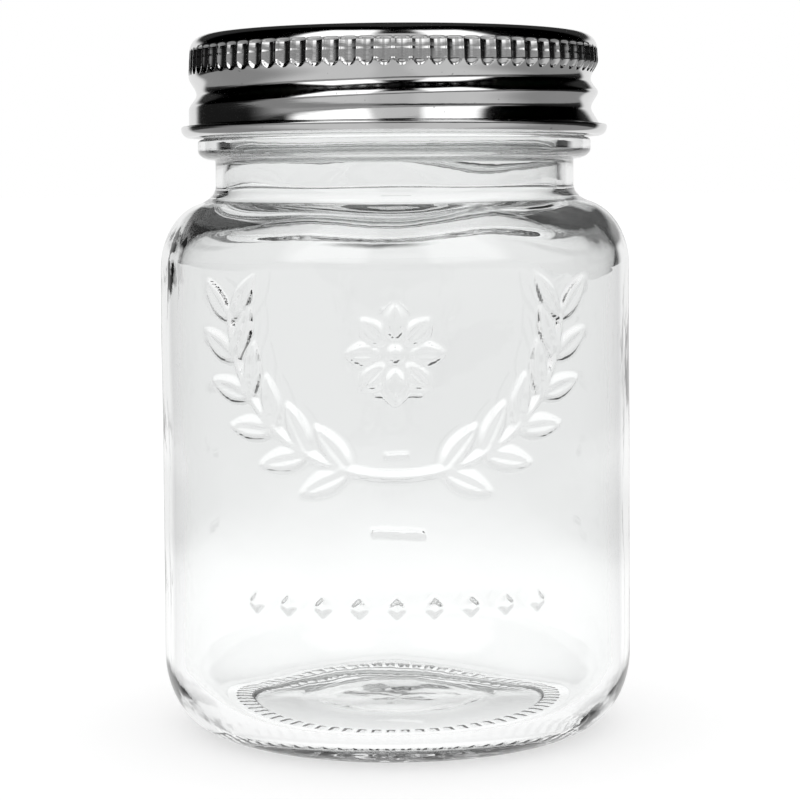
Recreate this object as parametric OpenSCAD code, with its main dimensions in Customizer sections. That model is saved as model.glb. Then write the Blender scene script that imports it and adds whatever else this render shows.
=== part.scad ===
// A round glass preserving jar with a two-piece screw closure.
// The origin is at the centre of the base, on the surface that the jar stands on. The front faces -Y.

/* [Glass body] */
// Outer diameter of the straight body
body_d = 82; // [74:0.5:90]
// Height at which the body ends and the shoulder starts
shoulder_z = 80; // [60:1:110]
// Wall of the body
wall_t = 3.6; // [2.5:0.1:4.2]
// Thickness of the glass floor at its edge
floor_t = 4; // [3.6:0.1:6]
// Width of the rounded heel, measured inwards from the body
heel_w = 9.5; // [6:0.1:11]
// Height of the rounded heel
heel_h = 13; // [10:0.5:20]
// Width of the ring that the jar stands on
bearing_w = 5; // [3.5:0.1:7]
// Rise of the hollow under the base
push_up_h = 1.2; // [1:0.1:2.2]
// Width of the rounded corner between floor and wall inside
inner_heel_w = 7; // [5:0.5:14]
// Height of the rounded corner between floor and wall inside
inner_heel_h = 9; // [5:0.5:14]
// Dip of the floor inside, from its edge to its middle
floor_dip = 0.5; // [0.1:0.1:0.9]

/* [Shoulder and neck] */
// Width of the round shoulder, measured inwards from the body
shoulder_w = 9; // [8.2:0.1:9.2]
// Height of the round shoulder
shoulder_h = 11.6; // [9:0.1:12]
// Thickness of the glass at the shoulder, measured upwards
shoulder_wall = 2.4; // [1.6:0.1:3]
// Outer diameter of the bare neck under the bead
neck_d = 62.6; // [62:0.1:63.4]
// Height of the hollow curve between shoulder and neck
neck_curve_h = 2.6; // [2:0.1:4]
// Length of the bare neck, from that curve to the bead
neck_h = 4.4; // [3:0.1:8]
// Diameter of the mouth
mouth_d = 57.2; // [54:0.1:59]
// How far the bead stands out from the bare neck
bead_out = 2.95; // [2.2:0.05:3]
// Height of the bead's rounded lower edge
bead_low_h = 1.7; // [1:0.1:2]
// Height of the bead's upright side
bead_side_h = 1.4; // [0.8:0.1:2]
// Height of the bead's rounded upper edge
bead_up_h = 0.6; // [0.4:0.1:0.9]

/* [Threaded finish] */
// Diameter of the finish at the root of its thread
finish_d = 66.4; // [65.6:0.1:67.2]
// Height of the finish, from the top of the bead to the rim
finish_h = 16.25; // [16:0.05:18]
// How far the glass thread stands out
thread_depth = 1.3; // [1:0.1:1.4]
// Rise of the thread in one turn
thread_lead = 5.08; // [5.06:0.02:5.3]
// Height of the glass thread at its root
thread_w = 2.6; // [2:0.1:2.8]
// Turn at which the glass thread starts, in degrees from +X
thread_start = 20; // [0:5:60]
// Turn at which the glass thread ends
thread_end = 410; // [380:5:420]
// Corner radius on the outside of the rim
rim_round_out = 1.4; // [0.8:0.1:1.6]
// Corner radius on the inside of the rim
rim_round_in = 1.2; // [0.6:0.1:1.4]

/* [Raised ornament] */
// How far the ornament stands out from the body
emboss_h = 0.7; // [0.4:0.1:1]
// Height of the middle of the two leafy branches
branch_z = 61; // [55:1:66]
// Half width of the pair of branches, along the glass
branch_w = 29; // [22:1:31]
// Height of the pair of branches
branch_h = 26; // [20:1:30]
// Length of a leaf
leaf_l = 9.5; // [6:0.5:10]
// Width of a leaf
leaf_w = 4; // [3:0.1:4.4]
// Leaves along one side of a branch
leaf_count = 6; // [4:1:8]
// Width of the branch stem
stem_w = 1.3; // [1:0.1:2]
// Radius of the rosette between the branches
rosette_r = 8; // [6:0.5:9]
// Petals of the rosette
petal_count = 8; // [6:1:10]
// Height of the row of beads under the branches
bead_row_z = 27; // [22:1:34]
// Spacing of that row of beads, along the glass
bead_row_step = 6; // [5:0.5:8]
// Beads on each side of the middle one
bead_row_side = 4; // [2:1:4]
// Width of a bead of that row
bead_row_w = 3.6; // [3:0.1:4.4]
// Spacing of the fill marks on the back
mark_step = 14; // [10:1:14]
// Fill marks on the back
mark_count = 4; // [2:1:4]
// Length of a fill mark
mark_l = 11; // [8:1:16]
// Height of a fill mark
mark_w = 1.4; // [1:0.1:2]
// Grip notches under the bearing ring
stipple_count = 72; // [48:1:90]
// Depth of a grip notch
stipple_depth = 0.35; // [0.2:0.05:0.5]
// Width of a grip notch
stipple_w = 0.8; // [0.5:0.1:1.1]

/* [Screw band] */
// Thickness of the rolled sheet
sheet_t = 0.35; // [0.3:0.01:0.4]
// Radial gap between the band's rolled thread and the root of the glass thread
root_gap = 0.75; // [0.7:0.05:0.9]
// Radial gap between the crest of the glass thread and the band
crest_gap = 0.85; // [0.8:0.05:1]
// Height of the groove that is rolled under the glass thread, above its middle
groove_up_h = 3.2; // [2.8:0.1:3.2]
// Height of the rolled groove below its middle
groove_down_h = 1.8; // [1.6:0.05:1.8]
// Height of the groove's middle at turn 0, above the bead
groove_z = 4.55; // [4.45:0.05:4.7]
// Turn at which the rolled groove starts
groove_start = -115; // [-120:5:-90]
// Turn at which the rolled groove ends
groove_end = 400; // [380:5:400]
// Height of the knurled part, with its top corner
knurl_h = 6.9; // [6.6:0.1:7]
// How far the knurl stands back from the ridges of the rolled wall
knurl_back = 0.3; // [0.25:0.05:0.35]
// How far the knurl stands out from the wall right under it
knurl_step = 0.15; // [0.1:0.01:0.2]
// Thickness of the knurled wall, from the crests of the flutes to its inside
knurl_wall = 0.65; // [0.6:0.01:0.7]
// Flutes around the band
flute_count = 78; // [60:1:90]
// Length of a flute
flute_l = 3.5; // [3:0.1:3.6]
// Depth of a flute
flute_depth = 0.4; // [0.3:0.05:0.4]
// Radius of a flute
flute_r = 1.1; // [0.9:0.05:1.2]
// Outer radius of the band's top corner
corner_r = 2.5; // [2.2:0.1:2.6]
// Diameter of the opening in the top of the band
band_open_d = 61; // [58:0.5:62]
// How far the curled edge stands out from the band
curl_out = 1.4; // [1:0.1:1.6]
// Height of the curled edge
curl_h = 1.9; // [1.7:0.1:2]
// Height of the curled edge above the bead
curl_lift = 0.3; // [0.2:0.1:0.6]

/* [Flat lid and its seal] */
// Thickness of the lid's sheet
lid_t = 0.3; // [0.25:0.01:0.35]
// Radial gap between the lid and the band
lid_gap = 0.6; // [0.5:0.05:0.8]
// How far the middle panel lies below the lid's raised edge
panel_drop = 0.55; // [0.3:0.05:0.6]
// Diameter of the flat middle panel
panel_d = 52; // [48:1:53]
// Width of the sloping step around the panel
panel_step_w = 1.5; // [1:0.1:2]
// Diameter of the button in the middle of the lid
button_d = 17; // [12:1:24]
// Height of the button
button_h = 0.3; // [0.2:0.05:0.35]
// Thickness of the sealing ring
seal_t = 0.9; // [0.8:0.05:1.1]
// Width of the sealing ring
seal_w = 2.4; // [2:0.1:2.4]

/* [Hidden] */
$fn = 96;

// Sizes that all cuts and seats share
overrun = 1;
bury = 0.6;
seat_overlap = 0.4;
flute_margin = 0.25;
lean_h = 2;

// Steps of curves and sweeps
arc_steps = 8;
thread_steps = 5;
wall_columns = 72;
wall_rows = 17;
leaf_points = 7;

// The angle at which the shoulder's curve hands over to the neck's curve
shoulder_turn = 75;

// Radii and heights of the glass
body_r = body_d / 2;
inner_r = body_r - wall_t;
neck_r = neck_d / 2;
mouth_r = mouth_d / 2;
root_r = finish_d / 2;
bead_r = neck_r + bead_out;
crest_r = root_r + thread_depth;
bearing_r = body_r - heel_w;
foot_in_r = bearing_r - bearing_w;
bead_z = shoulder_z + shoulder_h + neck_curve_h + neck_h + bead_low_h;
bead_top = bead_z + bead_side_h + bead_up_h;
rim_z = bead_top + finish_h;

// Heights of the closure, each seated on the one below
seal_top = rim_z + seal_t;
lid_top = seal_top + lid_t;
band_top = lid_top + sheet_t;
curl_z = bead_top + curl_lift;
curl_top = curl_z + curl_h;
knurl_z = band_top - knurl_h;
groove_mid = bead_top + groove_z;

// Radii of the band, from the glass thread outwards
groove_r = root_r + root_gap + sheet_t;
band_r = crest_r + crest_gap + sheet_t;
knurl_r = band_r - knurl_back;
knurl_in_r = knurl_r - knurl_wall;
curl_r = band_r + curl_out;
curl_in_r = band_r - 2 * sheet_t;
corner_in = corner_r - sheet_t;
lid_r = knurl_in_r - lid_gap;
seal_mid_r = (root_r - rim_round_out + mouth_r + rim_round_in) / 2;

// The glass thread lies on the upper flank of the rolled groove
thread_rise = thread_w / 2 + groove_up_h / 3;

// Shares of the sizes that they follow, chosen by hand
thread_tip_share = 0.4;
fade_turn = 40;
leaf_lean = 38;
leaf_first_share = 0.16;
leaf_last_share = 0.96;
petal_width_share = 0.5;
petal_start_share = 0.3;
half_leaf_shares = [0, 0.5, 0.85, 1, 0.9, 0.55, 0];

// Points along an ellipse
function arc(mid, half, from, to) =
    [for (i = [0 : arc_steps]) let (a = from + (to - from) * i / arc_steps)
        [mid[0] + half[0] * cos(a), mid[1] + half[1] * sin(a)]];

// Points along a curve that leaves p for q and arrives at s
function bend(p, q, s) =
    [for (i = [0 : arc_steps]) let (t = i / arc_steps)
        (1 - t) * (1 - t) * p + 2 * t * (1 - t) * q + t * t * s];

// The curve from the end of a shoulder's ellipse up to a straight neck
function neck_curve(mid, half, r, z) =
    let (p = mid + [half[0] * cos(shoulder_turn), half[1] * sin(shoulder_turn)],
         slope = half[1] * cos(shoulder_turn) / (half[0] * sin(shoulder_turn)))
    bend(p, [r, p[1] + (p[0] - r) * slope], [r, z]);

// 0 to 1 and back to 0 along a thread that fades at both ends
function fade(turn, from, to) =
    let (t = min(1, max(0, min(turn - from, to - turn) / fade_turn))) t * t * (3 - 2 * t);

// The outline of the glass, up the outside and down the inside
function glass_outline() =
    let (out_mid = [body_r - shoulder_w, shoulder_z],
         out_half = [shoulder_w, shoulder_h],
         in_mid = [inner_r - shoulder_w, shoulder_z],
         in_half = [shoulder_w, shoulder_h - shoulder_wall],
         neck_z = shoulder_z + shoulder_h + neck_curve_h)
    concat(
        arc([0, 0], [foot_in_r, push_up_h], 90, 0),
        arc([bearing_r, heel_h], [heel_w, heel_h], -90, 0),
        arc(out_mid, out_half, 0, shoulder_turn),
        neck_curve(out_mid, out_half, neck_r, neck_z),
        arc([neck_r, bead_z], [bead_out, bead_low_h], -90, 0),
        arc([root_r, bead_z + bead_side_h], [bead_r - root_r, bead_up_h], 0, 90),
        arc([root_r - rim_round_out, rim_z - rim_round_out], [rim_round_out, rim_round_out], 0, 90),
        arc([mouth_r + rim_round_in, rim_z - rim_round_in], [rim_round_in, rim_round_in], 90, 180),
        reverse(neck_curve(in_mid, in_half, mouth_r, neck_z)),
        reverse(arc(in_mid, in_half, 0, shoulder_turn)),
        arc([inner_r - inner_heel_w, floor_t + inner_heel_h], [inner_heel_w, inner_heel_h], 0, -90),
        [[0, floor_t - floor_dip]]);

function reverse(list) = [for (i = [len(list) - 1 : -1 : 0]) list[i]];

// One section of the glass thread, sunk into the finish: radius and height
function thread_section(turn) =
    let (z = groove_mid + thread_rise + thread_lead * turn / 360,
         grown = fade(turn, thread_start, thread_end),
         tip = root_r - bury + (thread_depth + bury) * grown,
         half = thread_w / 2 + bury / 2,
         tip_half = thread_w / 2 * thread_tip_share)
    [[root_r - bury, z - half], [tip, z - tip_half], [tip, z + tip_half], [root_r - bury, z + half]];

// The helical thread of the glass as one closed sweep
module glass_thread() {
    first = thread_start + fade_turn / 4;
    last = thread_end - fade_turn / 4;
    count = round((last - first) / thread_steps);
    points = [for (i = [0 : count]) let (turn = first + (last - first) * i / count)
        for (p = thread_section(turn)) [p[0] * cos(turn), p[0] * sin(turn), p[1]]];
    sides = [for (i = [0 : count - 1]) for (k = [0 : 3])
        let (a = 4 * i + k, b = 4 * i + (k + 1) % 4) each [[a, b, a + 4], [b, b + 4, a + 4]]];
    end = 4 * count;
    caps = [[0, 2, 1], [0, 3, 2], [end, end + 1, end + 2], [end, end + 2, end + 3]];
    polyhedron(points, concat(sides, caps));
}

// Stands a flat shape on the glass at an arc length and a height, turned by tilt
module on_glass(along, z, tilt) {
    rotate([0, 0, along / body_r * 180 / PI])
        translate([0, -body_r + bury, z])
            rotate([90, 0, 0])
                linear_extrude(bury + 2 * emboss_h)
                    rotate(tilt)
                        children();
}

// A pointed leaf that starts at the origin and lies along +X
module leaf(length, width) {
    upper = [for (i = [0 : leaf_points - 1])
        [length * i / (leaf_points - 1), width / 2 * half_leaf_shares[i]]];
    lower = [for (i = [leaf_points - 2 : -1 : 1])
        [length * i / (leaf_points - 1), -width / 2 * half_leaf_shares[i]]];
    polygon(concat(upper, lower));
}

// A place on the right-hand branch: along the glass, height and direction
function branch_place(t) =
    [branch_w * sin(90 * t), branch_z - branch_h / 2 + branch_h * (1 - cos(90 * t)),
        atan2(branch_h * sin(90 * t), branch_w * cos(90 * t))];

// One branch with its leaves, on the right for side 1 and on the left for side -1
module branch(side) {
    steps = 2 * leaf_count;
    for (i = [0 : steps - 1]) {
        here = branch_place(i / steps);
        next = branch_place((i + 1) / steps);
        run = norm([next[0] - here[0], next[1] - here[1]]);
        tilt = atan2(next[1] - here[1], next[0] - here[0]);
        on_glass(side * (here[0] + next[0]) / 2, (here[1] + next[1]) / 2, side * tilt)
            square([run + stem_w, stem_w], center = true);
    }
    for (i = [0 : leaf_count - 1], flank = [-1, 1]) {
        t = leaf_first_share + (leaf_last_share - leaf_first_share) * i / (leaf_count - 1);
        here = branch_place(t);
        tilt = here[2] + flank * leaf_lean;
        on_glass(side * here[0], here[1], side > 0 ? tilt : 180 - tilt)
            leaf(leaf_l, leaf_w);
    }
}

// The rosette, the row of beads and the fill marks
module rosette() {
    for (i = [0 : petal_count - 1])
        on_glass(0, branch_z + branch_h / 4, 360 * i / petal_count)
            translate([rosette_r * petal_start_share, 0])
                leaf(rosette_r * (1 - petal_start_share), rosette_r * petal_width_share);
}

module bead_row() {
    for (i = [-bead_row_side : bead_row_side])
        on_glass(i * bead_row_step, bead_row_z, 45)
            square(bead_row_w / sqrt(2), center = true);
}

module fill_marks() {
    rotate([0, 0, 180])
        for (i = [0 : mark_count - 1])
            on_glass(0, bead_row_z + i * mark_step, 0)
                square([i % 2 == 0 ? mark_l : mark_l / 2, mark_w], center = true);
}

module ornament() {
    intersection() {
        cylinder(r = body_r + emboss_h, h = shoulder_z);
        union() {
            branch(1);
            branch(-1);
            rosette();
            bead_row();
            fill_marks();
        }
    }
}

module grip_notches() {
    length = bearing_w / 2;
    for (i = [0 : stipple_count - 1])
        rotate([0, 0, 360 * (i + 0.5) / stipple_count])
            translate([foot_in_r + length / 2 + stipple_depth, 0, stipple_depth / 2 - overrun / 2])
                cube([length, stipple_w, stipple_depth + overrun], center = true);
}

module glass_jar() {
    color("azure", 0.4)
        difference() {
            union() {
                rotate_extrude()
                    polygon(glass_outline());
                ornament();
                glass_thread();
            }
            grip_notches();
        }
}

// The pressed lid: button, panel, sloping step, raised edge and turned-down border
module lid_disc() {
    panel_r = panel_d / 2;
    button_r = button_d / 2;
    edge_r = panel_r + panel_step_w;
    low = lid_top - panel_drop;
    border_mid = [lid_r - corner_in, lid_top - corner_in];
    border_in = corner_in - lid_t;
    color("lightgray")
        rotate_extrude()
            polygon(concat(
                [[0, low + button_h], [button_r - button_h, low + button_h], [button_r, low],
                    [panel_r, low], [edge_r, lid_top]],
                arc(border_mid, [corner_in, corner_in], 90, 0),
                arc(border_mid, [border_in, border_in], 0, 90),
                [[edge_r, lid_top - lid_t], [panel_r, low - lid_t], [button_r, low - lid_t],
                    [button_r - button_h, low + button_h - lid_t], [0, low + button_h - lid_t]]));
}

module sealing_ring() {
    color("dimgray")
        translate([0, 0, rim_z])
            difference() {
                cylinder(r = seal_mid_r + seal_w / 2, h = seal_t);
                translate([0, 0, -overrun])
                    cylinder(r = seal_mid_r - seal_w / 2, h = seal_t + 2 * overrun);
            }
}

// How deep the rolled groove is at a turn and a height, from one of its windings
function groove_depth_at(turn, z) =
    let (mid = groove_mid + thread_lead * turn / 360,
         ceiling = knurl_z - seat_overlap / 2,
         reach = z > mid ? min(groove_up_h, max(ceiling - mid, sheet_t)) : groove_down_h,
         away = min(1, abs(z - mid) / reach))
    (band_r - groove_r) * fade(turn, groove_start, groove_end) * (1 + cos(180 * away)) / 2;

// The outer radius of the rolled wall, which leans in towards the knurl
function wall_r(angle, z) =
    let (t = min(1, max(0, (z - knurl_z + lean_h) / lean_h)))
    band_r - (knurl_back + knurl_step) * t * t * (3 - 2 * t)
        - max([for (k = [-1 : 1]) groove_depth_at(angle + 360 * k, z)]);

// The rolled wall of the band between the curled edge and the knurl
module rolled_wall() {
    low = curl_top - curl_h / 2;
    high = knurl_z + seat_overlap;
    count = 2 * wall_rows;
    points = [for (j = [0 : wall_columns - 1]) let (angle = 360 * j / wall_columns)
        for (i = [0 : count - 1])
            let (outside = i < wall_rows,
                 row = outside ? i : count - 1 - i,
                 z = low + (high - low) * row / (wall_rows - 1),
                 r = wall_r(angle, z) - (outside ? 0 : sheet_t))
            [r * cos(angle), r * sin(angle), z]];
    faces = [for (j = [0 : wall_columns - 1]) for (i = [0 : count - 1])
        let (a = j * count + i,
             b = j * count + (i + 1) % count,
             c = ((j + 1) % wall_columns) * count + i,
             d = ((j + 1) % wall_columns) * count + (i + 1) % count)
        each [[a, b, c], [b, d, c]]];
    polyhedron(points, faces);
}

// The curled lower edge as a closed ring
module curled_edge() {
    half = [curl_h / 2, curl_h / 2];
    rotate_extrude()
        polygon(concat(
            arc([curl_r - curl_h / 2, curl_z + curl_h / 2], half, -90, 90),
            [[curl_in_r, curl_top], [curl_in_r, curl_z]]));
}

// One flute: an upright cutter with two tapered ends, of which only the outer part reaches the wall
module flute_cutter() {
    length = flute_l + 2 * (flute_r - flute_depth);
    rotate_extrude($fn = 32)
        polygon([[0, 0], [flute_r, flute_r], [flute_r, length - flute_r], [0, length]]);
}

module knurled_top() {
    difference() {
        rotate_extrude()
            polygon(concat(
                [[knurl_r, knurl_z]],
                arc([knurl_r - corner_r, band_top - corner_r], [corner_r, corner_r], 0, 90),
                [[band_open_d / 2, band_top], [band_open_d / 2, band_top - sheet_t]],
                arc([knurl_in_r - corner_in, lid_top - corner_in], [corner_in, corner_in], 90, 0),
                [[knurl_in_r, knurl_z]]));
        for (i = [0 : flute_count - 1])
            rotate([0, 0, 360 * i / flute_count])
                translate([knurl_r + flute_r - flute_depth, 0, knurl_z + flute_margin + flute_depth - flute_r])
                    flute_cutter();
    }
}

module screw_band() {
    color("silver") {
        knurled_top();
        rolled_wall();
        curled_edge();
    }
}

glass_jar();
lid_disc();
sealing_ring();
screw_band();
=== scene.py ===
"""Looks of a round glass preserving jar, closed by a flat lid and a knurled screw band.

Sizes are millimetres and the angle phi is counted from +X, counter-clockwise from above.
The front of the jar faces -Y.
"""
import math

import bpy
import numpy as np
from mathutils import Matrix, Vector


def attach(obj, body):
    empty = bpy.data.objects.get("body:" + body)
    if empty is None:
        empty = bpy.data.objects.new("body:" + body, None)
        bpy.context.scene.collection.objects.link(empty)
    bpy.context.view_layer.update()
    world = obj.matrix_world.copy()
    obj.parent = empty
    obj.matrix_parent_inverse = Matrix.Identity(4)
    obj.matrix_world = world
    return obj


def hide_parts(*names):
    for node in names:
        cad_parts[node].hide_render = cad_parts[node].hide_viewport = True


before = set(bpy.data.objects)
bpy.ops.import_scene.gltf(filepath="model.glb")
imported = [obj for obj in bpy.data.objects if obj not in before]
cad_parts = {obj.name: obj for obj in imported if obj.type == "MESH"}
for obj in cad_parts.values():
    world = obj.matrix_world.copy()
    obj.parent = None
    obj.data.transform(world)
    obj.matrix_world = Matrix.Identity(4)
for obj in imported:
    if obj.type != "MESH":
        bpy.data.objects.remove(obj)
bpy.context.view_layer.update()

MM = 0.001
TAU = 2 * math.pi
FRONT = 1.5 * math.pi
BACK = 0.5 * math.pi

# Glass, as in the CAD model
BODY_R = 41.0
WALL_T = 3.6
SHOULDER_Z = 80.0
FLOOR_T = 4.0
HEEL_W = 9.5
HEEL_H = 13.0
BEARING_W = 5.0
PUSH_UP_H = 1.2
INNER_HEEL = (7.0, 9.0)
FLOOR_DIP = 0.5
SHOULDER = (9.0, 11.6)
SHOULDER_WALL = 2.4
SHOULDER_TURN = math.radians(75)
NECK_R = 31.3
NECK_CURVE_H = 2.6
NECK_H = 4.4
MOUTH_R = 28.6
BEAD_OUT = 2.95
BEAD_LOW_H = 1.7
BEAD_SIDE_H = 1.4
BEAD_UP_H = 0.6
ROOT_R = 33.2
FINISH_H = 16.25
THREAD_DEPTH = 1.3
THREAD_LEAD = 5.08
THREAD_W = 2.6
THREAD_FROM = 20.0
THREAD_TO = 410.0
THREAD_FADE = 40.0
THREAD_CREST = (0.18, 0.52)
RIM_OUT = 1.4
RIM_IN = 1.2
NECK_Z = SHOULDER_Z + SHOULDER[1] + NECK_CURVE_H
BEAD_Z = NECK_Z + NECK_H + BEAD_LOW_H
BEAD_TOP = BEAD_Z + BEAD_SIDE_H + BEAD_UP_H
RIM_Z = BEAD_TOP + FINISH_H
INNER_R = BODY_R - WALL_T
BEARING_R = BODY_R - HEEL_W
FOOT_IN_R = BEARING_R - BEARING_W

# Closure, as in the CAD model, except that the knurl's inside lies 0.1 further in, behind the leaning dents
SHEET_T = 0.35
BAND_R = 35.7
GROOVE_UP = 3.2
GROOVE_MID = BEAD_TOP + 4.55
KNURL_H = 6.9
KNURL_R = BAND_R - 0.3
KNURL_IN_R = KNURL_R - 0.75
FLUTES = 78
CORNER_R = 2.5
OPEN_R = 30.5
CURL_R = BAND_R + 1.4
CURL_IN_R = BAND_R - 2 * SHEET_T
CURL_H = 1.9
CURL_Z = BEAD_TOP + 0.3
CURL_TOP = CURL_Z + CURL_H
SEAL_T = 0.9
SEAL_W = 2.4
SEAL_MID_R = (ROOT_R - RIM_OUT + MOUTH_R + RIM_IN) / 2
LID_T = 0.3
LID_R = KNURL_R - 1.25
LID_TOP = RIM_Z + SEAL_T + LID_T
BAND_TOP = LID_TOP + SHEET_T
KNURL_Z = BAND_TOP - KNURL_H
CORNER_IN = CORNER_R - SHEET_T
PANEL_DROP = 0.55
PANEL_R = 26.0
PANEL_STEP = 1.5
BUTTON_R = 8.5
BUTTON_H = 0.3

# The band's curled edge, the edge of its opening and its wear
CURL_NOSE_R = 1.3
CURL_SHELF_R = BAND_R + 0.5
CURL_BEND = 0.3
CURL_BACK_Z = CURL_TOP - 0.6
EDGE_R = 0.35
OPEN_EDGE_R = 0.17
WEAR = 0.02

# Fine rings pressed into the lid's panel
PANEL_RINGS = (13, 22)
PANEL_RING_W = 0.5
PANEL_RING_DEPTH = 0.05
BUTTON_SLOPE = 1.4

# The sealing ring's rounded corners and its lumpy inner edge
SEAL_ROUND = 0.35
SEAL_LUMP = 0.03

# The band's rolled thread: its place, how it runs in and out, and the cone under its first winding
ROLL_MID = GROOVE_MID + 0.5
ROLL_UP = GROOVE_UP
ROLL_DOWN = 2.7
ROLL_DEPTH = 1.35
ROLL_FROM = -160.0
ROLL_TO = 400.0
ROLL_IN = 160.0
ROLL_OUT = 40.0
ROLL_IN_LEAD = 2.8
ROLL_EASE = 0.15
ROLL_CONE = (-30.0, 60.0)
ROLL_IN_DENTS = 0.9
THREAD_MID = ROLL_MID + THREAD_W / 2 + GROOVE_UP / 3 - 0.2

# The band's side: ribs, the wall under them, and the flare over the curl
RIB_TOP = BAND_TOP - 3.8
RIB_END_H = 0.55
RIB_DROP = 0.04
RIB_LEAN = 0.035
RIB_OUT = 0.26
RIB_EASE = 0.14
RIB_POWER = 2.2
ROLL_END = (RIB_TOP - 0.8, RIB_TOP + 0.7)
WALL_OUT = 0.06
WALL_END = (KNURL_Z - 4.7, KNURL_Z - 1.2)
FLARE_OUT = 0.05
FLARE_H = 1.8

# The upright dents between the ribs, which lean in and end in a scoop, and the corner over them
DENT_LOW = KNURL_Z - 0.05
DENT_END_H = 1.3
DENT_IN = 0.2
DENT_LEAN = 0.08
DENT_FADE_H = 0.35
SCOOP_R = 1.0
SCOOP_H = 0.85
CORNER_CURVE = 0.03
LEAN_TURN = 4.5
TURN_R = 2.7

# Raised ornament on the glass, at the CAD model's places and 0.02 lower
EMBOSS_H = 0.68
BRANCH_Z = 61.0
BRANCH_W = 29.0
BRANCH_H = 26.0
LEAF_L = 9.5
LEAF_W = 4.0
LEAF_COUNT = 6
LEAF_LEAN = math.radians(38)
LEAF_SHARES = (0.16, 0.96)
LEAF_FORM = (0.85, 0.8)
STEM_W = 1.3
STEM_EASE = 0.2
RELIEF_SOFT = 0.8
VEIN_W = 0.35
VEIN_DEPTH = 0.4
ROSETTE_R = 8.0
PETALS = 8
PETAL_SHARES = (0.3, 0.5)
EYE_R = 1.5
ROW_Z = 27.0
ROW_STEP = 6.0
ROW_SIDE = 4
ROW_BEAD_W = 3.6
MARK_STEP = 14.0
MARK_COUNT = 4
MARK_L = 11.0
MARK_W = 1.4
MARK_EDGE = (-0.1, 0.6)

# Grip notches under the bearing ring
NOTCHES = 72
NOTCH_W = 0.8
NOTCH_SIDE = (0.3 * NOTCH_W, 0.9 * NOTCH_W)
NOTCH_DEPTH = 0.35
NOTCH_START = (FOOT_IN_R + 0.1, FOOT_IN_R + 0.7)
NOTCH_END = (FOOT_IN_R + 2.4, FOOT_IN_R + 3.0)

# Unevenness of the moulded glass: heights, and where each kind fades in or out
OUTER_WAVE = 0.05
OUTER_INSET = 1.6
OUTER_CALM = (2, 20)
FINISH_CALM = (98, 102)
FINISH_SHARE = 0.7
INNER_WAVE = 0.14
INNER_CALM = (96, 104)
SHOULDER_WAVE = 0.2
SHOULDER_FROM = (74, 84)
SHOULDER_TO = (95, 101)
FLOOR_WAVE = 0.08
FLOOR_END = (6, 14)
AXIS_CALM = (1, 14)
SEAM_H = 0.027
SEAM_W = 0.3
SEAM_REACH = 12
SCAR_R = 15.5
SCAR_W = 0.9
SCAR_H = 0.25
SCAR_END_R = 22
SCAR_WAVE = 0.1
SCAR_FADE = 3


def smooth(value, low, high):
    """0 below low, 1 above high and a smooth step between them."""
    t = np.clip((value - low) / (high - low), 0, 1)
    return t * t * (3 - 2 * t)


def arc(mid, half, start, end, steps):
    """Points along an ellipse; the angles are in degrees."""
    turns = np.radians(np.linspace(start, end, steps + 1))
    return [(mid[0] + half[0] * math.cos(t), mid[1] + half[1] * math.sin(t)) for t in turns]


def line(start, end, steps):
    """Points along a straight line, both ends included."""
    return [tuple(np.array(start) * (1 - t) + np.array(end) * t) for t in np.linspace(0, 1, steps + 1)]


def bend(start, corner, end, steps):
    """Points along a curve that leaves start for corner and arrives at end."""
    p, q, s = (np.array(x) for x in (start, corner, end))
    return [tuple((1 - t) ** 2 * p + 2 * t * (1 - t) * q + t * t * s) for t in np.linspace(0, 1, steps + 1)]


def joined(*stretches):
    """One outline from several stretches, without the points that they share."""
    out = []
    for stretch in stretches:
        for p in stretch:
            if not out or math.dist(p, out[-1]) > 1e-6:
                out.append((float(p[0]), float(p[1])))
    return out


def walked(outline):
    """Each point of an outline with its outward direction and the way along the outline to it."""
    p = np.array(outline)
    along = np.gradient(p, axis=0)
    along /= np.linalg.norm(along, axis=1)[:, None]
    outward = np.stack([along[:, 1], -along[:, 0]], axis=1)
    ways = np.concatenate([[0], np.cumsum(np.linalg.norm(np.diff(p, axis=0), axis=1))])
    return zip(outline, outward, ways)


def even_turns(count):
    """That many angles, evenly round the axis from 0."""
    return np.arange(count) * TAU / count


def graded_turns(fine, coarse, fine_spans):
    """Angles round the axis at the coarse step, and at the fine one within the spans, all in degrees."""
    out = []
    a = 0.0
    while a < 360 - 1e-6:
        out.append(a)
        a += fine if any(low <= a < high for low, high in fine_spans) else coarse
    return np.radians(out)


class Ring:
    """A closed row of points round the axis, in millimetres."""

    def __init__(self, turns, r, z):
        self.turns = turns
        r = r + 0 * turns
        self.points = np.stack([r * np.cos(turns), r * np.sin(turns), z + 0 * turns], axis=1)


def zipped(a, b, at_a, at_b):
    """Faces between two rings, whose angles may differ."""
    n, m = len(a.turns), len(b.turns)
    if n == m and np.allclose(a.turns, b.turns):
        return [(at_a + i, at_a + (i + 1) % n, at_b + (i + 1) % n, at_b + i) for i in range(n)]
    faces = []
    i = j = 0
    while i < n or j < m:
        next_a = a.turns[i + 1] if i + 1 < n else (TAU if i < n else math.inf)
        next_b = b.turns[j + 1] if j + 1 < m else (TAU if j < m else math.inf)
        if next_a <= next_b:
            faces.append((at_a + i % n, at_a + (i + 1) % n, at_b + j % m))
            i += 1
        else:
            faces.append((at_a + i % n, at_b + (j + 1) % m, at_b + j % m))
            j += 1
    return faces


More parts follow.
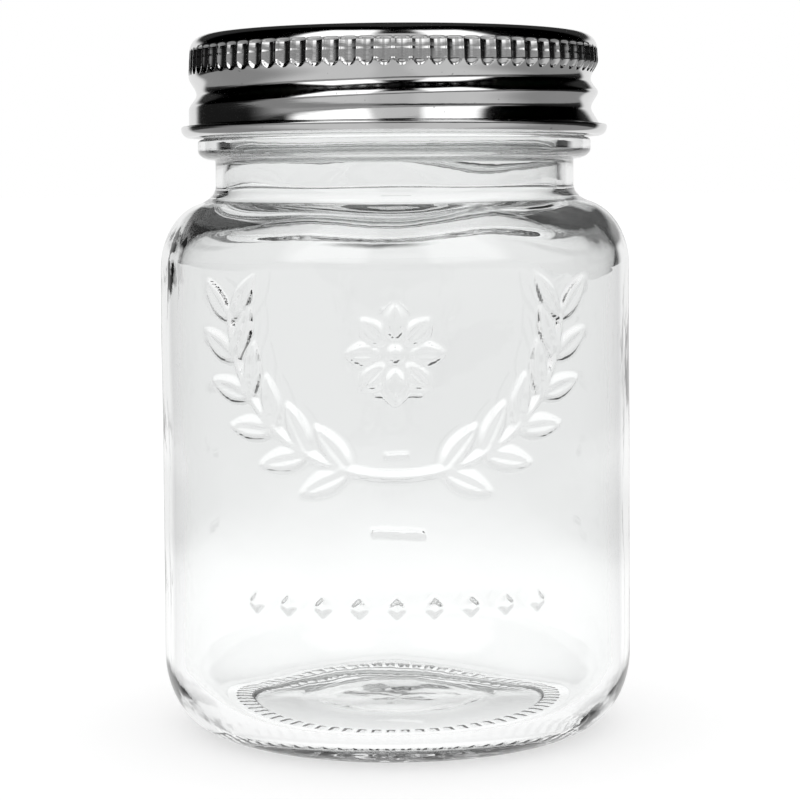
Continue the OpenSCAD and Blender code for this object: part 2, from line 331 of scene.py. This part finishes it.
def skin(name, rings, poles=None, closed=False):
    """A mesh object over rings; poles are the heights at which it closes on the axis."""
    starts = np.cumsum([0] + [len(r.turns) for r in rings])
    points = np.concatenate([r.points for r in rings])
    faces = []
    for i in range(len(rings) - 1):
        faces += zipped(rings[i], rings[i + 1], starts[i], starts[i + 1])
    if closed:
        faces += zipped(rings[-1], rings[0], starts[-2], 0)
    if poles:
        first, last = len(points), len(points) + 1
        points = np.concatenate([points, [[0, 0, poles[0]], [0, 0, poles[1]]]])
        n = len(rings[0].turns)
        faces += [(first, (i + 1) % n, i) for i in range(n)]
        n, at = len(rings[-1].turns), starts[-2]
        faces += [(at + i, at + (i + 1) % n, last) for i in range(n)]
    mesh = bpy.data.meshes.new(name)
    mesh.from_pydata((points * MM).tolist(), [], [tuple(int(i) for i in f) for f in faces])
    mesh.shade_smooth()
    piece = bpy.data.objects.new(name, mesh)
    bpy.context.scene.collection.objects.link(piece)
    return piece


def ripple(seed, waves, turn_limit, step_limit):
    """A smooth uneven field over the angle and the way along an outline, about 1 high."""
    draw = np.random.RandomState(seed)
    turns = draw.randint(0, turn_limit + 1, waves)
    steps = draw.uniform(0.3, 1, waves) * TAU / step_limit
    phases = draw.uniform(0, TAU, waves)
    signs = draw.choice([-1, 1], waves)
    size = 1 / (1 + turns / 4 + steps * 4)
    size /= np.linalg.norm(size)

    def field(phi, way):
        total = np.zeros_like(phi)
        for m, k, p, s, a in zip(turns, steps, phases, signs, size):
            total = total + a * np.cos(m * phi + s * k * way + p)
        return total

    return field


def branch_place(t):
    """A place on the right-hand branch: along the glass, height and direction."""
    turn = math.radians(90 * t)
    along = BRANCH_W * math.sin(turn)
    z = BRANCH_Z - BRANCH_H / 2 + BRANCH_H * (1 - math.cos(turn))
    return along, z, math.atan2(BRANCH_H * math.sin(turn), BRANCH_W * math.cos(turn))


def leaf_inside(s, z, at, tilt, length, width):
    """How far inside a pointed leaf each place lies, and how far from its vein."""
    u = (s - at[0]) * math.cos(tilt) + (z - at[1]) * math.sin(tilt)
    v = -(s - at[0]) * math.sin(tilt) + (z - at[1]) * math.cos(tilt)
    t = np.clip(u / length, 0, 1)
    half = width / 2 * np.sin(math.pi * t ** LEAF_FORM[0]) ** LEAF_FORM[1]
    past = np.maximum(0, np.maximum(-u, u - length))
    return half - np.abs(v) - past, v


def box_inside(s, z, at, half_s, half_z, tilt=0.0):
    """How far inside a rectangle each place lies."""
    u = (s - at[0]) * math.cos(tilt) + (z - at[1]) * math.sin(tilt)
    v = -(s - at[0]) * math.sin(tilt) + (z - at[1]) * math.cos(tilt)
    return np.minimum(half_s - np.abs(u), half_z - np.abs(v))


def ornament_height(s, z):
    """The relief of the front: two leafy branches, a rosette and a row of beads."""
    height = np.zeros_like(s)

    def raise_to(inside, vein=None):
        nonlocal height
        bump = smooth(inside, -RELIEF_SOFT / 4, RELIEF_SOFT)
        if vein is not None:
            middle = np.exp(-(vein / VEIN_W) ** 2) * smooth(inside, RELIEF_SOFT / 2, RELIEF_SOFT)
            bump = bump * (1 - VEIN_DEPTH * middle)
        height = np.maximum(height, EMBOSS_H * bump)

    def raise_leaf(at, tilt, length, width):
        raise_to(*leaf_inside(s, z, at, tilt, length, width))

    for side in (1, -1):
        stem = [branch_place(t) for t in np.linspace(0, 1, 25)]
        for a, b in zip(stem, stem[1:]):
            mid = (side * (a[0] + b[0]) / 2, (a[1] + b[1]) / 2)
            run = math.dist(a[:2], b[:2])
            tilt = side * math.atan2(b[1] - a[1], b[0] - a[0])
            raise_to(box_inside(s, z, mid, (run + STEM_W) / 2, STEM_W / 2, tilt) + STEM_EASE)
        for i in range(LEAF_COUNT):
            t = LEAF_SHARES[0] + (LEAF_SHARES[1] - LEAF_SHARES[0]) * i / (LEAF_COUNT - 1)
            along, rise, heading = branch_place(t)
            for flank in (-1, 1):
                tilt = heading + flank * LEAF_LEAN
                raise_leaf((side * along, rise), tilt if side > 0 else math.pi - tilt, LEAF_L, LEAF_W)
    for i in range(PETALS):
        tilt = TAU * i / PETALS
        reach = ROSETTE_R * PETAL_SHARES[0]
        at = (reach * math.cos(tilt), BRANCH_Z + BRANCH_H / 4 + reach * math.sin(tilt))
        raise_leaf(at, tilt, ROSETTE_R - reach, ROSETTE_R * PETAL_SHARES[1])
    raise_to(EYE_R - np.hypot(s, z - BRANCH_Z - BRANCH_H / 4))
    for i in range(-ROW_SIDE, ROW_SIDE + 1):
        half = ROW_BEAD_W / math.sqrt(2) / 2
        raise_to(box_inside(s, z, (i * ROW_STEP, ROW_Z), half, half, math.pi / 4))
    return height


def mark_height(s, z):
    """The relief of the back: short bars that mark how full the jar is."""
    height = np.zeros_like(s)
    for i in range(MARK_COUNT):
        half = MARK_L / 2 if i % 2 == 0 else MARK_L / 4
        inside = box_inside(s, z, (0, ROW_Z + i * MARK_STEP), half, MARK_W / 2)
        height = np.maximum(height, EMBOSS_H * smooth(inside, *MARK_EDGE))
    return height


def seam_height(phi):
    """The faint mould seams down both sides."""
    off = np.abs(np.angle(np.exp(2j * phi))) / 2
    return SEAM_H * np.exp(-(off * BODY_R / SEAM_W) ** 2)


def glass_thread(phi, z):
    """How far the glass thread stands out: the greatest of its windings, which fades at both ends."""
    best = np.zeros_like(phi)
    for k in (-1, 0, 1):
        turn = np.degrees(phi) + 360 * k
        grown = smooth(np.minimum(turn - THREAD_FROM, THREAD_TO - turn), 0, THREAD_FADE)
        away = np.abs(z - THREAD_MID - THREAD_LEAD * turn / 360) / THREAD_W
        best = np.maximum(best, grown * (1 - smooth(away, *THREAD_CREST)))
    return THREAD_DEPTH * best


def notch_depth(phi, r):
    """The short grip notches under the bearing ring."""
    share = phi * NOTCHES / TAU - 0.5
    across = (share - np.round(share)) * TAU / NOTCHES * r
    long = smooth(r, *NOTCH_START) * (1 - smooth(r, *NOTCH_END))
    return NOTCH_DEPTH * long * (1 - smooth(np.abs(across), *NOTCH_SIDE))


def neck_curve(mid, half, r, z, steps):
    """From the end of a shoulder's ellipse up to the straight neck."""
    p = (mid[0] + half[0] * math.cos(SHOULDER_TURN), mid[1] + half[1] * math.sin(SHOULDER_TURN))
    slope = half[1] * math.cos(SHOULDER_TURN) / (half[0] * math.sin(SHOULDER_TURN))
    return bend(p, (r, p[1] + (p[0] - r) * slope), (r, z), steps)


def outer_glass():
    """The outside of the glass from the middle of its base up to the rim."""
    turn = math.degrees(SHOULDER_TURN)
    mid = (BODY_R - SHOULDER[0], SHOULDER_Z)
    return joined(
        arc((0, 0), (FOOT_IN_R, PUSH_UP_H), 89, 0, 30),
        line((FOOT_IN_R, 0), (BEARING_R, 0), 16),
        arc((BEARING_R, HEEL_H), (HEEL_W, HEEL_H), -90, 0, 26),
        line((BODY_R, HEEL_H), (BODY_R, SHOULDER_Z), 150),
        arc(mid, SHOULDER, 0, turn, 20),
        neck_curve(mid, SHOULDER, NECK_R, NECK_Z, 12),
        line((NECK_R, NECK_Z), (NECK_R, BEAD_Z - BEAD_LOW_H), 6),
        arc((NECK_R, BEAD_Z), (BEAD_OUT, BEAD_LOW_H), -90, 0, 10),
        arc((ROOT_R, BEAD_Z + BEAD_SIDE_H), (NECK_R + BEAD_OUT - ROOT_R, BEAD_UP_H), 0, 90, 8),
        line((ROOT_R, BEAD_TOP), (ROOT_R, RIM_Z - RIM_OUT), 54),
        arc((ROOT_R - RIM_OUT, RIM_Z - RIM_OUT), (RIM_OUT, RIM_OUT), 0, 90, 8))


def inner_glass():
    """The inside of the glass from the rim down to the middle of the floor."""
    turn = math.degrees(SHOULDER_TURN)
    mid = (INNER_R - SHOULDER[0], SHOULDER_Z)
    half = (SHOULDER[0], SHOULDER[1] - SHOULDER_WALL)
    return joined(
        arc((MOUTH_R + RIM_IN, RIM_Z - RIM_IN), (RIM_IN, RIM_IN), 90, 180, 6),
        line((MOUTH_R, RIM_Z - RIM_IN), (MOUTH_R, NECK_Z), 12),
        neck_curve(mid, half, MOUTH_R, NECK_Z, 10)[::-1],
        arc(mid, half, turn, 0, 14),
        line((INNER_R, SHOULDER_Z), (INNER_R, FLOOR_T + INNER_HEEL[1]), 34),
        arc((INNER_R - INNER_HEEL[0], FLOOR_T + INNER_HEEL[1]), INNER_HEEL, 0, -90, 18),
        line((INNER_R - INNER_HEEL[0], FLOOR_T), (0.6, FLOOR_T - FLOOR_DIP), 24))


def outer_rings():
    """The outside of the glass, uneven, with its ornament, seams, thread, notches and ring scar."""
    foot_turns = even_turns(NOTCHES * 8)
    body_turns = graded_turns(0.45, 1.5, [(-1, 1.5), (75, 105), (178.5, 181.5), (222, 318), (358.5, 361)])
    neck_turns = even_turns(300)
    wave = ripple(seed=11, waves=26, turn_limit=9, step_limit=26)
    scar_wave = ripple(seed=41, waves=24, turn_limit=9, step_limit=5)
    rings = []
    for (r, z), (out_r, out_z), way in walked(outer_glass()):
        turns = foot_turns if z < HEEL_H else body_turns if z < SHOULDER_Z + 2 else neck_turns
        calm = smooth(z, *OUTER_CALM) * (1 - FINISH_SHARE * smooth(z, *FINISH_CALM))
        off = -OUTER_WAVE * calm * (OUTER_INSET + wave(turns, way))
        rise = 0
        if z <= PUSH_UP_H and r < BEARING_R:
            scar = SCAR_H * np.exp(-((r - SCAR_R) / SCAR_W) ** 2) * (r < SCAR_END_R)
            within = 1 - smooth(r, SCAR_R - SCAR_FADE, SCAR_R)
            rise = notch_depth(turns, r) + scar + SCAR_WAVE * scar_wave(turns, way) * within
        side = 0
        if HEEL_H <= z <= SHOULDER_Z:
            side = np.maximum(ornament_height((turns - FRONT) * BODY_R, z + 0 * turns),
                              mark_height((turns - BACK) * BODY_R, z + 0 * turns))
        if BODY_R - r < SEAM_REACH:
            side = side + seam_height(turns)
        if z > BEAD_TOP:
            side = side + glass_thread(turns, z)
        rings.append(Ring(turns, r + out_r * off + side, z + out_z * off + rise))
    return rings


def inner_rings():
    """The inside of the glass, with waves that are strongest at the shoulder."""
    turns = even_turns(260)
    wave = ripple(seed=5, waves=34, turn_limit=8, step_limit=24)
    floor_wave = ripple(seed=23, waves=20, turn_limit=5, step_limit=16)
    rings = []
    for (r, z), (out_r, out_z), way in walked(inner_glass()):
        low = 1 - smooth(z, *FLOOR_END)
        upper = smooth(z, *SHOULDER_FROM) * (1 - smooth(z, *SHOULDER_TO))
        size = (INNER_WAVE + SHOULDER_WAVE * upper) * (1 - smooth(z, *INNER_CALM))
        off = -size * (1 + wave(turns, way)) * (1 - low)
        off = off - FLOOR_WAVE * low * (1 + floor_wave(turns, way)) * smooth(r, *AXIS_CALM)
        rings.append(Ring(turns, r + out_r * off, z + out_z * off))
    return rings


def glass_jar():
    """The whole glass body as one closed skin."""
    return skin("glass_body", outer_rings() + inner_rings(), poles=(PUSH_UP_H, FLOOR_T - FLOOR_DIP))


def rolled_depth(phi, z):
    """How deep the rolled thread is pressed into the band."""
    total = np.zeros_like(phi)
    for k in (-1, 0, 1):
        turn = np.degrees(phi) + 360 * k
        grown = smooth(np.minimum((turn - ROLL_FROM) / ROLL_IN, (ROLL_TO - turn) / ROLL_OUT), 0, 1)
        mid = ROLL_MID + (THREAD_LEAD * np.maximum(turn, 0) + ROLL_IN_LEAD * np.minimum(turn, 0)) / 360
        away = np.minimum(1, np.where(z > mid, (z - mid) / ROLL_UP, (mid - z) / ROLL_DOWN))
        rounded = (1 + np.cos(math.pi * away)) / 2
        coned = 1 - (np.hypot(away, ROLL_EASE) - ROLL_EASE) / (math.hypot(1, ROLL_EASE) - ROLL_EASE)
        cone = (1 - smooth(turn, *ROLL_CONE)) * (z < mid)
        total = total + grown * (rounded * (1 - cone) + coned * cone)
    return ROLL_DEPTH * total


def top_lean(z):
    """How far the side leans in along the ribs and above them."""
    return RIB_LEAN * max(0.0, z - DENT_LOW - SCOOP_H) + CORNER_CURVE * max(0.0, z - RIB_TOP) ** 2


def plain_radius(z):
    """The side of the band without its thread and its dents."""
    rib = RIB_OUT - RIB_DROP * smooth(z, RIB_TOP - RIB_END_H, RIB_TOP)
    wall = WALL_OUT * (1 - smooth(z, *WALL_END))
    flare = FLARE_OUT * max(0.0, 1 - (z - CURL_TOP) / FLARE_H) ** 2
    return KNURL_R + rib + wall + flare - top_lean(z)


def side_radius(phi, z):
    """The side of the band with its rolled thread."""
    return plain_radius(z) - rolled_depth(phi, z) * (1 - smooth(z, *ROLL_END))


def dent_depth(phi, z):
    """How deep the upright dents with scooped lower ends lie between narrow ribs."""
    side = side_radius(phi, z)
    lean = DENT_LEAN * max(0.0, (z - DENT_LOW) / (RIB_TOP - DENT_LOW)) + top_lean(z)
    bottom = KNURL_R - DENT_IN - ROLL_IN_DENTS * rolled_depth(phi, z) - lean
    share = phi * FLUTES / TAU
    across = np.abs(share - np.round(share)) * 2
    past = np.maximum(0, DENT_LOW + SCOOP_H + DENT_END_H * across ** 2 - z)
    scoop = SCOOP_R - np.sqrt(np.maximum(0, SCOOP_R ** 2 - np.minimum(past, SCOOP_R) ** 2))
    rib = (side - bottom) * (1 + RIB_EASE - np.hypot(1 - across, RIB_EASE)) ** RIB_POWER
    return np.maximum(0, side - bottom - np.hypot(rib, scoop))


def dents_left(z):
    """The share of the dents' depth that is left at a height in the corner."""
    mid = BAND_TOP - CORNER_R
    return 1 - smooth(z, mid - DENT_FADE_H / 2, mid + DENT_FADE_H / 2)


def band_curl():
    """The outline of the curled edge, from its inside round to the foot of the wall."""
    nose = CURL_R - CURL_NOSE_R
    edge = CURL_R - EDGE_R
    edge_z = CURL_TOP - EDGE_R
    return joined(
        line((CURL_IN_R, CURL_Z + CURL_BEND), (CURL_IN_R + CURL_BEND, CURL_Z), 2),
        line((CURL_IN_R + CURL_BEND, CURL_Z), (nose, CURL_Z), 4),
        arc((nose, edge_z), (CURL_NOSE_R, CURL_H - EDGE_R), -90, 0, 14),
        arc((edge, edge_z), (EDGE_R, EDGE_R), 0, 86, 8),
        line((edge, CURL_TOP), (CURL_SHELF_R, CURL_TOP), 2))


def band_top(side_top):
    """The outline of the top corner and the flat ring round the opening."""
    turn = math.radians(LEAN_TURN)
    corner = (plain_radius(side_top) - TURN_R * math.cos(turn), BAND_TOP - TURN_R)
    edge = OPEN_R + OPEN_EDGE_R
    return joined(
        arc(corner, (TURN_R, TURN_R), LEAN_TURN, 90, 20),
        line((corner[0], BAND_TOP), (edge, BAND_TOP), 4),
        arc((edge, BAND_TOP - SHEET_T / 2), (OPEN_EDGE_R, SHEET_T / 2), 90, 270, 6))


def screw_band():
    """The band: curled edge, rolled wall, knurl, top corner and open top, outside and inside."""
    knurl_turns = even_turns(FLUTES * 14)
    wall_turns = even_turns(480)
    plain_turns = even_turns(240)
    wall_low = CURL_TOP + 0.12
    side_top = BAND_TOP - CORNER_R
    wear = ripple(seed=31, waves=24, turn_limit=14, step_limit=9)
    rings = []

    def add(turns, radius, z):
        rings.append(Ring(turns, radius - WEAR * (1 + wear(turns, z)), z))

    for r, z in band_curl():
        add(wall_turns, r, z)
    for t in np.linspace(0.25, 1, 4):
        radius = CURL_SHELF_R * (1 - t) + side_radius(wall_turns, wall_low) * t
        add(wall_turns, radius, CURL_TOP + (wall_low - CURL_TOP) * t ** 2)
    for z in np.linspace(wall_low, DENT_LOW - 0.3, 60)[1:]:
        add(wall_turns, side_radius(wall_turns, z), z)
    scoop_rows = np.linspace(DENT_LOW - 0.2, DENT_LOW + 1.2, 28)
    dent_rows = np.linspace(DENT_LOW + 1.25, side_top, 44)[:-1]
    for z in (*scoop_rows, *dent_rows):
        add(knurl_turns, side_radius(knurl_turns, z) - dents_left(z) * dent_depth(knurl_turns, z), z)
    depth = dent_depth(knurl_turns, side_top)
    for r, z in band_top(side_top):
        left = dents_left(z)
        if left > 0:
            add(knurl_turns, r - left * depth, z)
        elif r > OPEN_R + 1:
            add(wall_turns, r, z)
        else:
            rings.append(Ring(wall_turns, r, z))
    inner_corner = (KNURL_IN_R - CORNER_IN, LID_TOP - CORNER_IN)
    inside = joined(
        line((OPEN_R + 0.3, LID_TOP), (inner_corner[0], LID_TOP), 3),
        arc(inner_corner, (CORNER_IN, CORNER_IN), 90, 0, 8))
    rings += [Ring(plain_turns, r, z) for r, z in inside]
    for z in np.linspace(LID_TOP - CORNER_IN - 0.3, wall_low, 60):
        room = side_radius(wall_turns, z) - SHEET_T
        rings.append(Ring(wall_turns, np.minimum(KNURL_IN_R, room) if z > KNURL_Z else room, z))
    rings.append(Ring(wall_turns, CURL_IN_R, CURL_BACK_Z))
    return skin("band_shell", rings, closed=True)


def lid_disc():
    """The pressed lid with its button, ringed panel, step and turned-down border."""
    low = LID_TOP - PANEL_DROP
    edge = PANEL_R + PANEL_STEP
    border = (LID_R - CORNER_IN, LID_TOP - CORNER_IN)
    inner = CORNER_IN - LID_T

    def pressed(r):
        """The height of the top sheet at a radius."""
        fine = sum(np.exp(-((r - ring) / PANEL_RING_W) ** 2) for ring in PANEL_RINGS)
        button = BUTTON_H * (1 - smooth(r, BUTTON_R - BUTTON_SLOPE, BUTTON_R))
        return low + button + PANEL_DROP * smooth(r, PANEL_R, edge) - PANEL_RING_DEPTH * fine

    radii = np.linspace(edge + 0.2, border[0], 8)
    over = [(r, pressed(r)) for r in np.linspace(0.5, edge, 90)]
    outline = joined(
        [(r, z - LID_T) for r, z in over],
        [(r, LID_TOP - LID_T) for r in radii],
        arc(border, (inner, inner), 90, 0, 8),
        arc(border, (CORNER_IN, CORNER_IN), 0, 90, 12),
        [(r, LID_TOP) for r in radii[::-1]],
        over[::-1])
    turns = even_turns(220)
    rings = [Ring(turns, r, z) for r, z in outline]
    return skin("lid_sheet", rings, poles=(low + BUTTON_H - LID_T, low + BUTTON_H))


def sealing_ring():
    """The ring of sealing compound under the lid's edge, with soft corners."""
    mid = (SEAL_MID_R, RIM_Z + SEAL_T / 2)
    half = (SEAL_W / 2, SEAL_T / 2)
    turns = even_turns(220)
    outline = []
    for t in np.linspace(-math.pi / 2, 1.5 * math.pi, 41)[:-1]:
        c, s = math.cos(t), math.sin(t)
        outline.append((mid[0] + half[0] * math.copysign(abs(c) ** SEAL_ROUND, c),
                        mid[1] + half[1] * math.copysign(abs(s) ** SEAL_ROUND, s)))
    lumps = ripple(seed=3, waves=18, turn_limit=22, step_limit=7)
    rings = [Ring(turns, r + SEAL_LUMP * lumps(turns, r + z) * (r < mid[0] - 1), z) for r, z in outline]
    return skin("seal_ring", rings, closed=True)


class Term:
    """A value in a node tree, which sums and products extend with Math nodes."""

    def __init__(self, tree, socket):
        self.tree = tree
        self.socket = socket

    def math(self, operation, *others):
        made = self.tree.nodes.new("ShaderNodeMath")
        made.operation = operation
        for i, value in enumerate((self, *others)):
            if isinstance(value, Term):
                self.tree.links.new(value.socket, made.inputs[i])
            else:
                made.inputs[i].default_value = value
        return Term(self.tree, made.outputs[0])

    def __add__(self, other):
        return self.math("ADD", other)

    def __sub__(self, other):
        return self.math("SUBTRACT", other)

    def __mul__(self, other):
        return self.math("MULTIPLY", other)

    def stepped(self, low, high, start=0.0, end=1.0):
        """A smooth step from start at low to end at high."""
        made = self.tree.nodes.new("ShaderNodeMapRange")
        made.interpolation_type = "SMOOTHSTEP"
        self.tree.links.new(self.socket, made.inputs["Value"])
        for name, value in (("From Min", low), ("From Max", high), ("To Min", start), ("To Max", end)):
            made.inputs[name].default_value = value
        return Term(self.tree, made.outputs[0])

    def within(self, low, high, soft):
        """1 between low and high, and 0 outside them."""
        return self.stepped(low - soft, low + soft) * self.stepped(high - soft, high + soft, 1.0, 0.0)

    def to(self, socket):
        self.tree.links.new(self.socket, socket)


def mixed(share, low, high):
    """low where share is 0 and high where it is 1."""
    if not isinstance(low, Term) and not isinstance(high, Term):
        return share * (high - low) + low
    if isinstance(high, Term):
        return share * (high - low) + low
    return (share * -1.0 + 1.0) * low + share * high


def noise(tree, scale, detail=3.0, rough=0.5, stretch=(1, 1, 1)):
    """A noise pattern over the piece, in object space, as a Term."""
    coords = tree.nodes.new("ShaderNodeTexCoord")
    made = tree.nodes.new("ShaderNodeTexNoise")
    made.inputs["Scale"].default_value = scale
    made.inputs["Detail"].default_value = detail
    made.inputs["Roughness"].default_value = rough
    place = tree.nodes.new("ShaderNodeMapping")
    place.inputs["Scale"].default_value = stretch
    tree.links.new(coords.outputs["Object"], place.inputs["Vector"])
    tree.links.new(place.outputs["Vector"], made.inputs["Vector"])
    return Term(tree, made.outputs["Fac"])


def new_material(name):
    """A material, its tree and its Principled shader."""
    made = bpy.data.materials.new(name)
    made.use_nodes = True
    tree = made.node_tree
    return made, tree, tree.nodes["Principled BSDF"]


def bumped(tree, shader, height, distance):
    """Feeds a pattern to the shader's normal; distance is its height in millimetres."""
    made = tree.nodes.new("ShaderNodeBump")
    made.inputs["Distance"].default_value = distance * MM
    height.to(made.inputs["Height"])
    tree.links.new(made.outputs["Normal"], shader.inputs["Normal"])


def grey(tree, shader, tone):
    """Feeds one value to all three channels of the shader's colour."""
    made = tree.nodes.new("ShaderNodeCombineColor")
    for channel in ("Red", "Green", "Blue"):
        tone.to(made.inputs[channel])
    tree.links.new(made.outputs[0], shader.inputs["Base Color"])


# The metal's tone where it is clouded and in its flecks, as shares of its plain value, and what the
# flecks add to its roughness
CLOUD_TONE = 0.94
FLECK_TONE = 0.55
FLECK_ROUGH = 0.15


def clear_glass():
    """Clear moulded glass: slight unevenness and no tint to speak of."""
    made, tree, shader = new_material("clear_glass")
    shader.inputs["Base Color"].default_value = (0.985, 0.992, 0.99, 1)
    shader.inputs["Transmission Weight"].default_value = 1.0
    shader.inputs["IOR"].default_value = 1.5
    noise(tree, 60, 2).stepped(0.4, 0.75, 0.0, 0.02).to(shader.inputs["Roughness"])
    bumped(tree, shader, noise(tree, 90, 2, 0.45) + noise(tree, 420, 2, 0.5) * 0.12, 0.06)
    return made


def tinplate(name, value, rough, scratch_stretch):
    """Rolled tinplate: bright metal with fine scratches, dark flecks and cloudy handling marks."""
    made, tree, shader = new_material(name)
    cloud = noise(tree, 55, 4, 0.6)
    grain = noise(tree, 900, 4, 0.6, scratch_stretch)
    fleck = noise(tree, 1500, 2, 0.4).stepped(0.72, 0.78)
    plain = mixed(cloud.stepped(0.35, 0.7), value * CLOUD_TONE, value)
    grey(tree, shader, mixed(fleck, plain, value * FLECK_TONE))
    shader.inputs["Metallic"].default_value = 1.0
    clouded = cloud.stepped(0.3, 0.75, rough * 0.8, rough * 1.5)
    (clouded + fleck * FLECK_ROUGH).to(shader.inputs["Roughness"])
    bumped(tree, shader, grain + cloud * 2.0, 0.012)
    return made


def seal_compound():
    """Matt sealing compound with a fine skin."""
    made, tree, shader = new_material("seal_compound")
    grey(tree, shader, noise(tree, 700, 3).stepped(0.3, 0.7, 0.5, 0.58))
    noise(tree, 500, 2).stepped(0.3, 0.7, 0.45, 0.62).to(shader.inputs["Roughness"])
    bumped(tree, shader, noise(tree, 1200, 3), 0.03)
    return made


def dress(piece, body, node, made):
    """Puts a finished piece on its body in place of a CAD node."""
    piece.data.materials.append(made)
    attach(piece, body)
    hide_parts(node)


# The lit panels of the studio. Each has its two sides, its bottom, its top and its soft edge, in degrees
# from straight ahead and from the horizon, and its strength.
PANELS = ((-58, -11, 12, 62, 4, 1.6), (17, 57, 12, 60, 4, 1.5), (-14, 20, 11, 36, 3, 0.65))
PANEL_SOFT = 5
DIFFUSE_LIGHT = 0.88

# The floor: its half width, its tones to other rays and through the glass, its glow for the camera, and
# its painted glow through the glass, near to the object and far from it: a painted pool of light that
# lightens the object's shadow on the floor where it is seen through the glass
FLOOR_REACH = 30.0
FLOOR_TONES = (0.6, 0.2)
FLOOR_GLOW = 0.58
FLOOR_FADE = (0.05, 0.4)
FLOOR_PAINTED_GLOW_THROUGH = (0.95, 0.68)


def studio_world():
    """White for the camera; for the metal and the glass, lit panels in front and a white wall behind."""
    world = bpy.data.worlds.new("studio")
    bpy.context.scene.world = world
    world.use_nodes = True
    world.cycles.sampling_method = "NONE"
    tree = world.node_tree
    back = tree.nodes["Background"]
    coords = tree.nodes.new("ShaderNodeTexCoord")
    parts = tree.nodes.new("ShaderNodeSeparateXYZ")
    tree.links.new(coords.outputs["Generated"], parts.inputs[0])
    x, y, z = (Term(tree, parts.outputs[i]) for i in range(3))
    path = tree.nodes.new("ShaderNodeLightPath")
    camera, glossy, through = (Term(tree, path.outputs[n]) for n in
                               ("Is Camera Ray", "Is Glossy Ray", "Is Transmission Ray"))
    round_to = x.math("ARCTAN2", y * -1.0) * math.degrees(1)
    side = round_to.math("ABSOLUTE")
    up = z.math("ARCSINE") * math.degrees(1)

    # All in degrees: side is the angle from straight ahead to either side, up the one over the horizon.
    # Under the horizon lies a pale table with a dim far edge, and over it a room that darkens sideways.
    table = side.stepped(50, 100, 0.68, 0.3) - round_to.within(-12, 14, 6) * 0.12
    edge = round_to.stepped(-14, 0, 0.24, 0.0) * side.stepped(90, 120, 1.0, 0.0) + 0.03
    room = side.stepped(58, 88, 0.38, 0.012) * up.stepped(7, 13, 1.0, 0.0)
    # Behind the object stands a white wall, which ends above.
    wall = side.stepped(137, 147) * up.stepped(11, 17, 0.88, 0.03)
    high = room.math("MAXIMUM", wall)
    for start, end, bottom, top, soft, strength in PANELS:
        panel = round_to.within(start, end, PANEL_SOFT) * up.within(bottom, top, soft) * strength
        high = high.math("MAXIMUM", panel)
    low = mixed(up.stepped(-13, -9), table, edge)
    around = mixed(up.stepped(-3, 0), low.math("MAXIMUM", wall), high)

    light = mixed(glossy.math("MAXIMUM", through), DIFFUSE_LIGHT, around)
    light = mixed(camera, light, 1.0)
    light.to(back.inputs["Strength"])
    back.inputs["Color"].default_value = (1, 1, 1, 1)


def floor():
    """A wide pale floor that keeps the object's shadow, with a painted glow through the glass, brightest
    near it.
    """
    mesh = bpy.data.meshes.new("floor")
    corners = [(i * FLOOR_REACH, j * FLOOR_REACH, 0) for i, j in ((-1, -1), (1, -1), (1, 1), (-1, 1))]
    mesh.from_pydata(corners, [], [(0, 1, 2, 3)])
    piece = bpy.data.objects.new("floor", mesh)
    bpy.context.scene.collection.objects.link(piece)
    made, tree, shader = new_material("floor_paper")
    shader.inputs["Roughness"].default_value = 1.0
    shader.inputs["Specular IOR Level"].default_value = 0.0
    shader.inputs["Emission Color"].default_value = (1, 1, 1, 1)
    path = tree.nodes.new("ShaderNodeLightPath")
    camera, through = (Term(tree, path.outputs[n]) for n in ("Is Camera Ray", "Is Transmission Ray"))
    coords = tree.nodes.new("ShaderNodeTexCoord")
    length = tree.nodes.new("ShaderNodeVectorMath")
    length.operation = "LENGTH"
    tree.links.new(coords.outputs["Object"], length.inputs[0])
    away = Term(tree, length.outputs["Value"])
    # Painted light: through the glass the floor takes a darker tone and a painted glow, brightest near the
    # object, which lightens the object's shadow there.
    grey(tree, shader, mixed(through, *FLOOR_TONES))
    painted_glow_through = through * away.stepped(*FLOOR_FADE, *FLOOR_PAINTED_GLOW_THROUGH)
    (camera * FLOOR_GLOW + painted_glow_through).to(shader.inputs["Emission Strength"])
    mesh.materials.append(made)
    piece.visible_glossy = False


# The photograph's view: the camera stands in front, level with the neck, and looks slightly down
CAMERA_DISTANCE = 395.0
CAMERA_HEIGHT = 93.5
CAMERA_SIDE = 0.8
CAMERA_ROLL = -0.42
FOCAL_PIXELS = 2252.0
PICTURE_PIXELS = 800.0
LEVEL_ROW = 189.0
FRAME_SHIFT = -0.10
SENSOR_MM = 36.0


def camera():
    """The camera at the photograph's place, with a small downward shift of its frame."""
    data = bpy.data.cameras.new("camera")
    data.sensor_width = SENSOR_MM
    data.sensor_fit = "HORIZONTAL"
    data.lens = FOCAL_PIXELS / PICTURE_PIXELS * SENSOR_MM
    data.shift_y = FRAME_SHIFT
    data.clip_start = 0.01
    drop = (PICTURE_PIXELS / 2 - LEVEL_ROW + FRAME_SHIFT * PICTURE_PIXELS) / FOCAL_PIXELS
    piece = bpy.data.objects.new("camera", data)
    piece.location = Vector((CAMERA_SIDE, -CAMERA_DISTANCE, CAMERA_HEIGHT)) * MM
    piece.rotation_mode = "ZYX"
    piece.rotation_euler = (math.pi / 2 - math.atan(drop), 0, math.radians(CAMERA_ROLL))
    bpy.context.scene.collection.objects.link(piece)
    bpy.context.scene.camera = piece


camera()
studio_world()
floor()

dress(glass_jar(), "jar", "glass_jar", clear_glass())
dress(lid_disc(), "lid", "lid_disc", tinplate("lid_tinplate", 0.78, 0.2, (1, 1, 1)))
dress(sealing_ring(), "lid", "sealing_ring", seal_compound())
dress(screw_band(), "band", "screw_band",
      tinplate("band_tinplate", 0.76, 0.09, (0.12, 0.12, 1)))

scene = bpy.context.scene
scene.view_settings.view_transform = "Standard"
scene.cycles.max_bounces = 32
scene.cycles.glossy_bounces = 16
scene.cycles.transmission_bounces = 24
